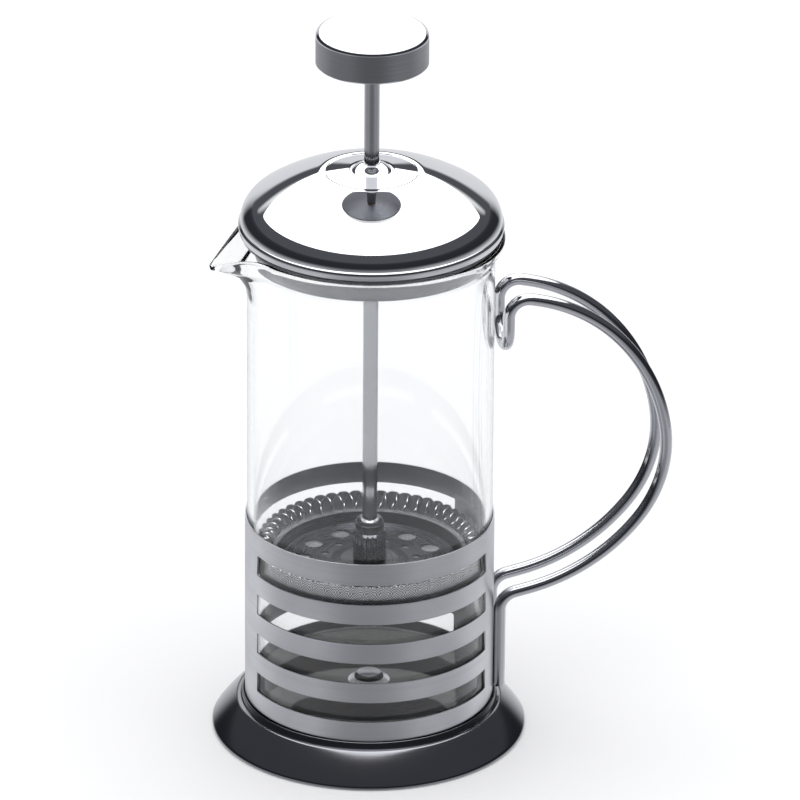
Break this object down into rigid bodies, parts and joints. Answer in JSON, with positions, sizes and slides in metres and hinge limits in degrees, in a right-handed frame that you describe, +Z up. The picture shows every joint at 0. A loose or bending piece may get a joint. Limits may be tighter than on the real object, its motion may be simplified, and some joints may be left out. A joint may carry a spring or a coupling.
{
  "type": "french press",
  "caption": "Cafetiere: glass beaker with spout in a slotted steel holder with wire handle, domed lid, and plunger with knob and spring-edged mesh filter.",
  "frame": {"origin": "the vertical axis of the press at the level of the table it stands on", "axes": "+Z up along the plunger rod, +X towards the handle, -X towards the spout"},
  "size_m": [0.1327, 0.09, 0.2149],
  "materials": {
    "satin_steel": "satin rolled stainless sheet",
    "skirt_steel": "spun and polished stainless sheet",
    "mirror_steel": "mirror polished stainless steel",
    "wire_steel": "bright drawn stainless wire",
    "mesh_steel": "woven stainless wire screen",
    "beaker_glass": "clear borosilicate glass",
    "black_plastic": "moulded filled plastic",
    "insert_brass": "turned brass"
  },
  "bodies": {
    "holder": {"base_skirt": "skirt_steel", "base_floor": "satin_steel", "frame_sleeve": "satin_steel", "handle_wire": "wire_steel"},
    "beaker": {"glass_beaker": "beaker_glass"},
    "lid": {"lid_dome": "mirror_steel", "lid_skirt": "satin_steel", "lid_bushing": "mirror_steel", "bushing_washer": "satin_steel", "bushing_nut": "satin_steel"},
    "plunger": {"plunger_rod": "wire_steel", "filter_hub_nut": "mirror_steel"},
    "knob": {"knob_shell": "satin_steel", "knob_cap": "mirror_steel", "knob_core": "black_plastic", "knob_insert": "insert_brass"},
    "filter": {"spring_plate": "satin_steel", "coil_spring": "wire_steel", "mesh_screen": "mesh_steel", "cross_plate": "satin_steel", "cross_bush": "satin_steel"}
  },
  "joints": [
    {"name": "beaker_lift", "type": "slide", "parent": "holder", "child": "beaker", "axis": [0, 0, 1], "range_m": [0, 0.14]},
    {"name": "lid_lift", "type": "slide", "parent": "beaker", "child": "lid", "axis": [0, 0, 1], "range_m": [0, 0.12]},
    {"name": "plunge", "type": "slide", "parent": "lid", "child": "plunger", "axis": [0, 0, 1], "range_m": [-0.0295, 0.0875]},
    {"name": "knob_unscrew", "type": "hinge", "parent": "plunger", "child": "knob", "pos_m": [0, 0, 0.209], "axis": [0, 0, 1], "continuous": true},
    {"name": "filter_unscrew", "type": "hinge", "parent": "plunger", "child": "filter", "pos_m": [0, 0, 0.0505], "axis": [0, 0, 1], "continuous": true}
  ]
}
